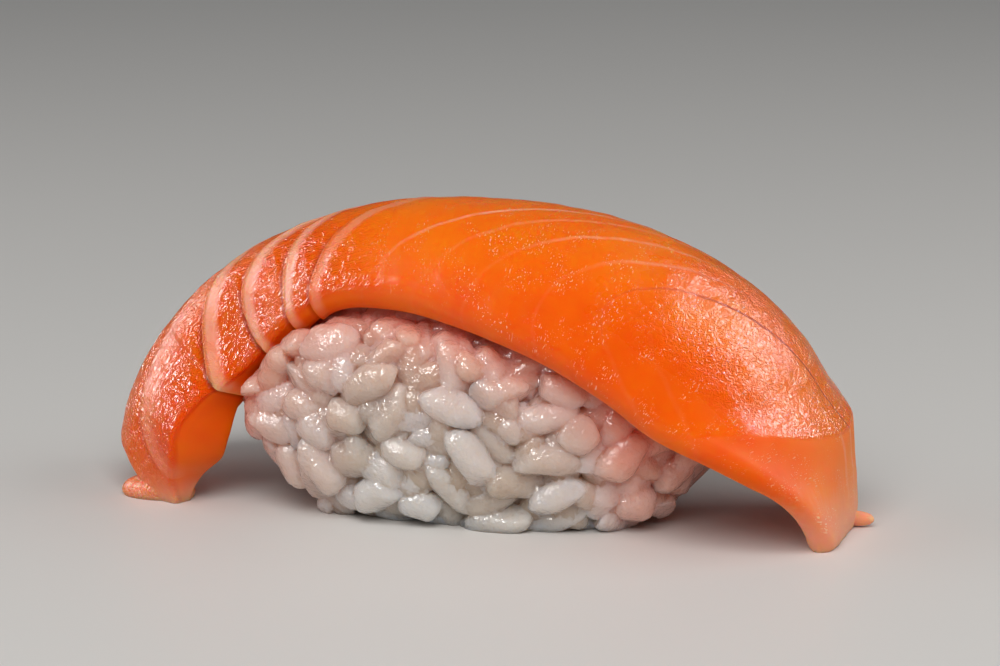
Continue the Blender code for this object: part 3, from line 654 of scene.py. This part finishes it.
def slice_point(u, t, depth):
    """Points of the slice, with their place in the flesh: u mm along the arch, t from -1
    at the front edge to 1 at the back, depth 0 at the outer face to 1 at the inner."""
    front = t < 0
    width = slice_width(u, t)
    turn = np.where(
        front, smooth_curve(u, STATIONS, FRONT_TURN), smooth_curve(u, STATIONS, BACK_TURN)
    )
    bend = width * np.where(front, smooth_curve(u, STATIONS, FRONT_BEND), BACK_BEND)
    turn = np.radians(turn)
    reach = np.abs(t) * width
    angle = turn * np.minimum(reach / bend, 1)
    straight = np.maximum(reach - bend, 0)
    thick = smooth_curve(u, STATIONS, THICKNESS)
    raised = (relief(u, t * width) + waves(u, t * width)) * np.maximum(1 - RELIEF_FADE * depth, 0)
    inward = depth * thick - raised
    out = bend / turn * np.sin(angle) + straight * np.cos(turn) - inward * np.sin(angle)
    fall = bend / turn * (1 - np.cos(angle)) + straight * np.sin(turn)
    fall = fall + inward * np.cos(angle)
    here, normal = arch_frame(u)
    y = np.where(front, -out, out)
    x, z = here[..., 0] - fall * normal[..., 0], here[..., 1] - fall * normal[..., 1]
    return np.stack([x, y, z], -1), np.stack([u, t * width, depth * thick], -1)


def section_loop(outer, inner, corner, face):
    """The section's outline, as (share of the width, side, inset, depth, rise) per spot."""
    turn = np.linspace(0, math.pi / 2, corner + 1)
    inset, rise = 1 - np.sin(turn), 1 - np.cos(turn)
    rows = []
    for share in np.linspace(-1, 1, outer)[1:-1]:
        rows.append((share, 0, 0, 0, 0))
    rows += [(0, 1, a, 0, b) for a, b in zip(inset, rise)]
    rows += [(0, 1, 0, s, 1 - 2 * s) for s in np.linspace(0, 1, face)[1:-1]]
    rows += [(0, 1, a, 1, -b) for a, b in zip(inset[::-1], rise[::-1])]
    for share in np.linspace(1, -1, inner)[1:-1]:
        rows.append((share, 0, 0, 1, 0))
    rows += [(0, -1, a, 1, -b) for a, b in zip(inset, rise)]
    rows += [(0, -1, 0, 1 - s, 2 * s - 1) for s in np.linspace(0, 1, face)[1:-1]]
    rows += [(0, -1, a, 0, b) for a, b in zip(inset[::-1], rise[::-1])]
    return np.array(rows, float).T


def slice_ends(t):
    """How far along the arch the slice reaches, left and right, at each t."""
    return smooth_curve(t, END_SHARES, LEFT_END), smooth_curve(t, END_SHARES, RIGHT_END)


def ring_places():
    """The rings along the slice, as (share of its length, pull from the end, fullness)."""
    turns = np.linspace(math.radians(END_TURN_FROM), 0, END_TURNS)[:-1]
    pulls = [(END_ROUND * (1 - math.sin(a)), 1 - END_THINNER * (1 - math.cos(a))) for a in turns]
    plain = [LEFT_END[0] + END_ROUND]
    while plain[-1] < RIGHT_END[1] - END_ROUND:
        plain.append(plain[-1] + (FLAKED_STEP if plain[-1] < FLAKED_UP_TO else PLAIN_STEP))
    shares = (np.array(plain) - plain[0]) / (plain[-1] - plain[0])
    rings = [(0.0, pull, full) for pull, full in pulls]
    rings += [(share, END_ROUND, 1.0) for share in shares]
    return rings + [(1.0, pull, full) for pull, full in pulls[::-1]]


def slice_rings():
    """Rings round the slice: their points and their places in the flesh."""
    section = section_loop(OUTER_SPOTS, INNER_SPOTS, CORNER_SPOTS, CUT_SPOTS)
    share, side, inset, depth, rise = section
    left, right = slice_ends(share + side)
    points, places = [], []
    for along, pull, full in ring_places():
        low, high = left + pull, right - pull
        u = low + (high - low) * along
        round_by = smooth_curve(u, STATIONS, EDGE_ROUND)
        width = slice_width(u, side + share)
        edge = round_by / width
        t = share * (1 - edge) + side * (1 - edge * inset)
        d = depth + rise * round_by / smooth_curve(u, STATIONS, THICKNESS)
        d = 0.5 + (d - 0.5) * full
        point, place = slice_point(u, t * (1 - END_NARROWER * (1 - full)), d)
        points.append(point)
        places.append(place)
    return np.array(points), np.array(places)


def ring_faces(rings, count):
    """Faces between rings of count points each, closed at both ends."""
    faces = []
    for ring in range(rings - 1):
        a, b = ring * count, (ring + 1) * count
        faces += [(a + i, b + i, b + (i + 1) % count, a + (i + 1) % count) for i in range(count)]
    last = (rings - 1) * count
    faces.append(tuple(range(count)))
    faces.append(tuple(range(last + count - 1, last - 1, -1)))
    return faces


def ball(name, centre, half, sides=24, rings=16):
    """A rounded lump, as a closed mesh."""
    points = [(0, 0, -1)]
    for i in range(1, rings):
        angle = math.pi * i / rings
        for k in range(sides):
            turn = 2 * math.pi * k / sides
            ring = math.sin(angle)
            points.append((ring * math.cos(turn), ring * math.sin(turn), -math.cos(angle)))
    points.append((0, 0, 1))
    return object_of(name, np.array(points) * half + centre, ball_faces(sides, rings))


def ball_faces(sides, rings):
    """Faces of a lump whose two poles are its first and last point."""
    faces = [(0, 1 + (k + 1) % sides, 1 + k) for k in range(sides)]
    for i in range(rings - 2):
        for k in range(sides):
            a, b = 1 + i * sides + k, 1 + i * sides + (k + 1) % sides
            faces.append((a, b, b + sides, a + sides))
    first = 1 + (rings - 2) * sides
    faces += [(first + k, first + (k + 1) % sides, first + sides) for k in range(sides)]
    return faces


def join_all(target, others):
    """Fuses the others into target with one union, then removes them."""
    group = bpy.data.collections.new("fused")
    for other in others:
        group.objects.link(other)
    union = target.modifiers.new("fuse", "BOOLEAN")
    union.operand_type = "COLLECTION"
    union.collection = group
    union.operation = "UNION"
    union.solver = "MANIFOLD"
    apply_modifiers(target)
    for other in others:
        bpy.data.objects.remove(other)
    bpy.data.collections.remove(group)


def apply_modifiers(obj):
    """Turns what the modifiers show into the mesh itself."""
    graph = bpy.context.evaluated_depsgraph_get()
    mesh = bpy.data.meshes.new_from_object(obj.evaluated_get(graph))
    obj.modifiers.clear()
    obj.data = mesh


def cut_at_table(obj):
    """Trims what would reach below the table and closes the cut."""
    work = bmesh.new()
    work.from_mesh(obj.data)
    everything = work.verts[:] + work.edges[:] + work.faces[:]
    cut = bmesh.ops.bisect_plane(
        work, geom=everything, plane_co=(0, 0, 0), plane_no=(0, 0, 1), clear_inner=True
    )["geom_cut"]
    rim = [e for e in cut if isinstance(e, bmesh.types.BMEdge) and e.is_boundary]
    bmesh.ops.holes_fill(work, edges=rim, sides=0)
    work.to_mesh(obj.data)
    work.free()


def keep_largest(obj):
    """Drops loose scraps and sealed hollows, which leaves one closed skin."""
    work = bmesh.new()
    work.from_mesh(obj.data)
    unseen = set(work.verts)
    skins = []
    while unseen:
        skin, edge = set(), {unseen.pop()}
        while edge:
            skin |= edge
            edge = {e.other_vert(v) for v in edge for e in v.link_edges} - skin
        unseen -= skin
        skins.append(skin)
    largest = max(skins, key=len)
    bmesh.ops.delete(work, geom=[v for v in work.verts if v not in largest], context="VERTS")
    work.to_mesh(obj.data)
    work.free()


def keep_places(obj, points, places):
    """Stores, at each vertex, its place in the flesh in millimetres."""
    tree = kdtree.KDTree(len(points))
    for number, point in enumerate(points):
        tree.insert(point * MM, number)
    tree.balance()
    found = [tree.find(v.co)[1] for v in obj.data.vertices]
    stored = obj.data.attributes.new("flesh", "FLOAT_VECTOR", "POINT")
    stored.data.foreach_set("vector", places[found].astype(np.float32).ravel())


def dress(obj, material, piece):
    """Gives a piece its material and its own lamps."""
    obj.data.materials.clear()
    obj.data.materials.append(material)
    obj.data.shade_smooth()
    lit_group(piece).objects.link(obj)


class SUSHI_OT_salmon(bpy.types.Operator):
    """Makes the slice of salmon over the rice"""

    bl_idname = "sushi.salmon"
    bl_label = "Salmon"

    def execute(self, context):
        settings = context.scene.salmon_settings
        points, places = slice_rings()
        rings, count, _ = points.shape
        points, places = points.reshape(-1, 3), places.reshape(-1, 3)
        salmon = object_of("salmon_slice", points, ring_faces(rings, count))
        tongue = ball("tongue", TONGUE_CENTRE, TONGUE_HALF)
        middle = (np.array(SHRED_FROM) + SHRED_TO) / 2
        reach = np.linalg.norm(np.subtract(SHRED_TO, SHRED_FROM)) / 2
        shred = ball("shred", middle, (reach, SHRED_RADIUS, SHRED_RADIUS))
        join_all(salmon, [tongue, shred])
        cut_at_table(salmon)
        keep_largest(salmon)
        keep_places(salmon, points, places)
        dress(salmon, salmon_material(settings), "salmon")
        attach(salmon, "root")
        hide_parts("salmon")
        return {"FINISHED"}


def core_radius_share(direction):
    """How far along a direction the core's surface lies, in units of its half sizes."""
    x, y, z = np.abs(direction)
    power = CORE_TOP_POWER if direction[2] > 0 else CORE_FOOT_POWER
    plan = (x**CORE_PLAN_POWER + y**CORE_PLAN_POWER) ** (power / CORE_PLAN_POWER)
    return (plan + z**power) ** (-1 / power)


def core_mesh(slice_tree):
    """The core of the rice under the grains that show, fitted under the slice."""
    points = []
    for i in range(CORE_RISE_STEPS + 1):
        rise = math.pi * (i / CORE_RISE_STEPS - 0.5)
        flat = math.cos(rise)
        for k in range(CORE_ROUND_STEPS):
            turn = 2 * math.pi * k / CORE_ROUND_STEPS
            way = np.array([flat * math.cos(turn), flat * math.sin(turn), math.sin(rise)])
            point = way * core_radius_share(way) * CORE_HALF + CORE_MIDDLE
            points.append(under_slice(pressed(point), slice_tree))
            if i in (0, CORE_RISE_STEPS):
                break
    return np.array(points), ball_faces(CORE_ROUND_STEPS, CORE_RISE_STEPS)


def pressed(point):
    """The point, brought in to the flat presses low on the block's ends."""
    for (x, z), reach in PRESSES:
        over = max(point[0] * x + point[2] * z - reach, 0)
        point = point - np.array((x, 0, z)) * over
    return point


def under_slice(point, slice_tree):
    """The point, drawn in towards the core's middle until it clears the slice."""
    middle = Vector(CORE_MIDDLE)
    way = Vector(point) - middle
    far = slice_tree.ray_cast(middle, way.normalized(), way.length + CORE_GAP)[3]
    if far is not None:
        way = way.normalized() * (far - CORE_GAP)
    while slice_tree.find_nearest(middle + way)[3] < CORE_GAP:
        way *= CORE_SHRINK
    return tuple(middle + way)


def plain_grain(length, width, depth, sides=8, rings=6):
    """A plump grain as points and faces, its long way along X."""
    points = [(-length / 2, 0, 0)]
    for i in range(1, rings):
        ring = -math.cos(math.pi * i / rings)
        radius = (1 - abs(ring) ** GRAIN_BLUNT) ** (1 / GRAIN_BLUNT)
        for k in range(sides):
            turn = 2 * math.pi * k / sides
            y = radius * width / 2 * math.cos(turn)
            z = radius * depth / 2 * math.sin(turn)
            points.append((ring * length / 2, y, z))
    points.append((length / 2, 0, 0))
    return np.array(points), ball_faces(sides, rings)


def cooked_grain(draw, size):
    """A grain as cooked: tapered, a little bent and dented, and pressed flat in places."""
    points, faces = plain_grain(*size, sides=GRAIN_SIDES, rings=GRAIN_RINGS)
    along = points[:, 0] / size[0] * 2
    taper, bend = draw.uniform(-TAPER, TAPER), draw.uniform(-BEND, BEND)
    points[:, 1:] *= (1 + taper * along)[:, None]
    points[:, 1] += bend * size[0] * (along**2 - BEND_MIDDLE)
    seed = Vector([draw.uniform(0, NOISE_REACH) for _ in range(3)])
    dents = [
        DENT * noise.noise(Vector(p) * DENT_FINE + seed)
        + SMALL_DENT * noise.noise(Vector(p) * SMALL_DENT_FINE + seed)
        for p in points
    ]
    points *= (1 + np.array(dents))[:, None]
    for _ in range(draw.choice(FLAT_COUNTS)):
        way = Vector([draw.uniform(-1, 1) for _ in range(3)]).normalized()
        way = np.array(way)
        far = points @ way
        limit = far.max() * draw.uniform(*FLATS)
        points -= np.maximum(far - limit, 0)[:, None] * way * FLAT_SHARE
    return points, faces


def settle(spot, way, lie, size, lift, slice_tree):
    """Sinks a grain into the core until it clears the slice, or gives None."""
    for sink in range(SINK_TRIES):
        centre = spot + way * (lift - sink * SINK_STEP)
        place = Matrix.Translation(centre) @ lie.to_matrix().to_4x4()
        if clear_of_slice(place, size, slice_tree):
            return place
    return None


def clear_of_slice(place, size, slice_tree):
    """Whether a grain, with its gap round it, crosses no face of the slice."""
    centre = place @ Vector((0, 0, 0))
    near, normal, _, _ = slice_tree.find_nearest(centre)
    points, faces = plain_grain(*[k + 2 * SLICE_GAP for k in size])
    grown = BVHTree.FromPolygons([place @ Vector(p) for p in points], faces)
    return (centre - near).dot(normal) > 0 and not grown.overlap(slice_tree)


def marks_of(place, size):
    """Three spots along a grain, which keep the next ones away."""
    return [place @ Vector((share * size[0], 0, 0)) for share in MARK_SHARES]


def front_places(core_tree, slice_tree):
    """The grains that show most, laid on the core where they are seen from the front."""
    places = []
    for x, z, lean, length, width, lift in FRONT_GRAINS:
        spot, way, _, _ = core_tree.ray_cast(Vector((x, FRONT_FROM, z)), Vector((0, 1, 0)))
        if spot is None:
            continue
        along = Vector((math.cos(math.radians(lean)), 0, math.sin(math.radians(lean))))
        along = (along - way * along.dot(way)).normalized()
        lie = Matrix((along, way.cross(along), way)).transposed().to_quaternion()
        size = (length * FRONT_LONGER, width * FRONT_WIDER, width)
        place = settle(spot, way, lie, size, lift, slice_tree)
        if place:
            places.append((place, size))
    return places


def scattered(draw, core, grain, lifts, spacing, darts, marks, slice_tree):
    """Grains thrown over the core from a seed, no two of them too close."""
    points, faces = core
    corners = [
        [Vector(points[i]) for i in (face[0], face[k], face[k + 1])]
        for face in faces
        for k in range(1, len(face) - 1)
    ]
    areas = [((b - a).cross(c - a)).length / 2 for a, b, c in corners]
    places = []
    for _ in range(darts):
        a, b, c = draw.choices(corners, areas)[0]
        r, s = draw.random() ** 0.5, draw.random()
        spot = a * (1 - r) + b * r * (1 - s) + c * r * s
        way = (b - a).cross(c - a).normalized()
        turns = (LOOSE_TILT, LOOSE_TILT, math.pi)
        turn = Euler([draw.uniform(-k, k) for k in turns]).to_quaternion()
        size = [k * draw.uniform(*LOOSE_SIZES) for k in grain]
        lift = draw.uniform(*lifts)
        if min(((spot - mark).length for mark in marks), default=NO_MARK) < spacing:
            continue
        if spot.z < UNDERSIDE_BELOW and way.z < UNDERSIDE_FACING:
            continue
        place = settle(spot, way, way.to_track_quat("Z", "X") @ turn, size, lift, slice_tree)
        if place:
            places.append((place, size))
            marks += marks_of(place, size)
    return places


def fused_rice(draw, places, core):
    """The core and all its grains, fused into one skin, with the grain points kept."""
    rice = object_of("rice_block", *core)
    grains, points = [], []
    for number, (place, size) in enumerate(places):
        shape, faces = cooked_grain(draw, size)
        matrix = np.array(place)
        placed = shape @ matrix[:3, :3].T + matrix[:3, 3]
        grains.append(object_of(f"grain_{number}", placed, faces))
        points.append(placed)
    join_all(rice, grains)
    return rice, points


def store_looks(obj, points, shown, draw, slice_tree):
    """Stores at each vertex its grain's tint, the painted pink light from the salmon by how near
    the salmon is, and how deep it lies, for the painted shade in the gaps.
    """
    tree = kdtree.KDTree(sum(len(grain) for grain in points))
    for number, grain in enumerate(points):
        for point in grain:
            tree.insert(point, number)
    tree.balance()
    tints = [draw.random() for _ in points]
    looks = []
    for vertex in obj.data.vertices:
        spot = vertex.co / MM
        _, number, away = tree.find(spot)
        near = slice_tree.find_nearest(spot)[3]
        # The pink light from the salmon that is painted on the rice: strongest beside the slice,
        # and more towards the block's two ends
        salmon_bounce = math.exp(-max(near - SLICE_GAP, 0) / BOUNCE_OVER)
        at_end = BOUNCE_LEFT if spot.x < 0 else BOUNCE_RIGHT
        salmon_bounce += at_end * min(max((abs(spot.x) - BOUNCE_FROM) / BOUNCE_OVER, 0), 1)
        # The last value marks the inner grains, which the material paints darker as painted shade
        looks.append((tints[number], salmon_bounce, 0.0 if number < shown else 1.0))
    stored = obj.data.attributes.new("look", "FLOAT_VECTOR", "POINT")
    stored.data.foreach_set("vector", np.array(looks, np.float32).ravel())


def tree_of(obj):
    """A search tree of an object's faces, in millimetres."""
    points = [v.co / MM for v in obj.data.vertices]
    return BVHTree.FromPolygons(points, [tuple(p.vertices) for p in obj.data.polygons])


class SUSHI_OT_rice(bpy.types.Operator):
    """Makes the pressed block of cooked rice"""

    bl_idname = "sushi.rice"
    bl_label = "Rice"

    def execute(self, context):
        settings = context.scene.rice_settings
        slice_tree = tree_of(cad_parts["salmon"])
        draw = random.Random(settings.seed)
        points, faces = core_mesh(slice_tree)
        middle = np.array(CORE_MIDDLE)
        thick = settings.width * GRAIN_FLATTER
        grain = (settings.length / MM, settings.width / MM, thick / MM)
        core_tree = BVHTree.FromPolygons([Vector(p) for p in points], faces)
        outer = front_places(core_tree, slice_tree)
        marks = [mark for grain_at in outer for mark in marks_of(*grain_at)]
        outer += scattered(draw, (points, faces), grain, *OUTER_LAYER, marks, slice_tree)
        core = (middle + (points - middle) * INNER_SHARE, faces)
        inner = scattered(draw, core, grain, *INNER_LAYER, [], slice_tree)
        rice, placed = fused_rice(draw, outer + inner, core)
        cut_at_table(rice)
        keep_largest(rice)
        store_looks(rice, placed, len(outer), draw, slice_tree)
        dress(rice, rice_material(settings), "rice")
        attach(rice, "root")
        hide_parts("rice")
        return {"FINISHED"}


def turned_to(place, target):
    """The turn that points an object at place towards target."""
    return (Vector(target) - Vector(place)).to_track_quat("-Z", "Y").to_euler()


def around(target, azimuth, elevation, distance):
    """A spot round target, azimuth from the front towards +X."""
    flat = math.cos(elevation) * distance
    return Vector(target) + Vector(
        (math.sin(azimuth) * flat, -math.cos(azimuth) * flat, math.sin(elevation) * distance)
    )


def lit_group(piece):
    """The collection of what a lamp for one piece lights."""
    name = piece + "_lit"
    return bpy.data.collections.get(name) or bpy.data.collections.new(name)


def soft_light(name, azimuth, elevation, distance, size, watts, shines, piece):
    """A soft square lamp that faces the sushi, and either shines in it or lights it."""
    lamp = bpy.data.lights.new(name, "AREA")
    lamp.shape = "RECTANGLE"
    lamp.size, lamp.size_y = size
    lamp.energy = watts
    lamp.color = LAMP_COLOUR
    made = bpy.data.objects.new(name, lamp)
    bpy.context.scene.collection.objects.link(made)
    made.location = around(LAMP_TARGET, math.radians(azimuth), math.radians(elevation), distance)
    made.rotation_euler = turned_to(made.location, LAMP_TARGET)
    made.visible_glossy = shines
    made.visible_diffuse = not shines
    if piece:
        made.light_linking.receiver_collection = lit_group(piece)


class SUSHI_OT_stage(bpy.types.Operator):
    """Makes the table, the lights and the camera"""

    bl_idname = "sushi.stage"
    bl_label = "Stage"

    def execute(self, context):
        settings = context.scene.stage_settings
        material, wire, shader = new_material("pale table", {"Roughness": TABLE_ROUGHNESS})
        place = wire.node("ShaderNodeTexCoord", {}, output=3)
        shade = place.grain(9.0, 2.0).rise(0.2, 0.8) * 0.06
        feed(shade.blend(tuple(settings.table), TABLE_CLOUD), shader, "Base Color")
        corners = np.array([(-1, -1, 0), (1, -1, 0), (1, 1, 0), (-1, 1, 0)]) * TABLE_HALF
        table = object_of("table", corners, [(0, 1, 2, 3)])
        table.data.materials.append(material)
        for name, *lamp in LAMPS:
            soft_light(name, *lamp)
        world = bpy.data.worlds.new("studio")
        world.use_nodes = True
        sky = world.node_tree.nodes["Background"]
        sky.inputs["Color"].default_value = SKY_COLOUR
        sky.inputs["Strength"].default_value = SKY_STRENGTH
        context.scene.world = world
        camera = bpy.data.objects.new("camera", bpy.data.cameras.new("camera"))
        context.scene.collection.objects.link(camera)
        camera.data.sensor_width = SENSOR_WIDTH
        camera.data.lens = settings.lens
        camera.location = around(
            settings.target, settings.azimuth, settings.elevation, settings.distance
        )
        camera.rotation_euler = turned_to(camera.location, settings.target)
        context.scene.camera = camera
        context.scene.view_settings.view_transform = "Standard"
        return {"FINISHED"}


class SUSHI_PT_panel(bpy.types.Panel):
    bl_label = "Salmon Sushi"
    bl_space_type = "VIEW_3D"
    bl_region_type = "UI"
    bl_category = "Sushi"

    def draw(self, context):
        for name, _ in PARTS:
            box = self.layout.box()
            settings = getattr(context.scene, name + "_settings")
            for prop in settings.bl_rna.properties:
                if prop.identifier not in {"rna_type", "name"}:
                    box.prop(settings, prop.identifier)
            box.operator("sushi." + name)


PARTS = (("salmon", SalmonSettings), ("rice", RiceSettings), ("stage", StageSettings))
OPERATORS = (SUSHI_OT_salmon, SUSHI_OT_rice, SUSHI_OT_stage)
CLASSES = (SalmonSettings, RiceSettings, StageSettings, *OPERATORS, SUSHI_PT_panel)


def register():
    for made in CLASSES:
        bpy.utils.register_class(made)
    for name, kind in PARTS:
        setattr(bpy.types.Scene, name + "_settings", PointerProperty(type=kind))


def unregister():
    for name, _ in PARTS:
        delattr(bpy.types.Scene, name + "_settings")
    for made in reversed(CLASSES):
        bpy.utils.unregister_class(made)


def main():
    register()
    bpy.ops.sushi.stage()
    bpy.ops.sushi.salmon()
    bpy.ops.sushi.rice()


if __name__ == "__main__":
    main()
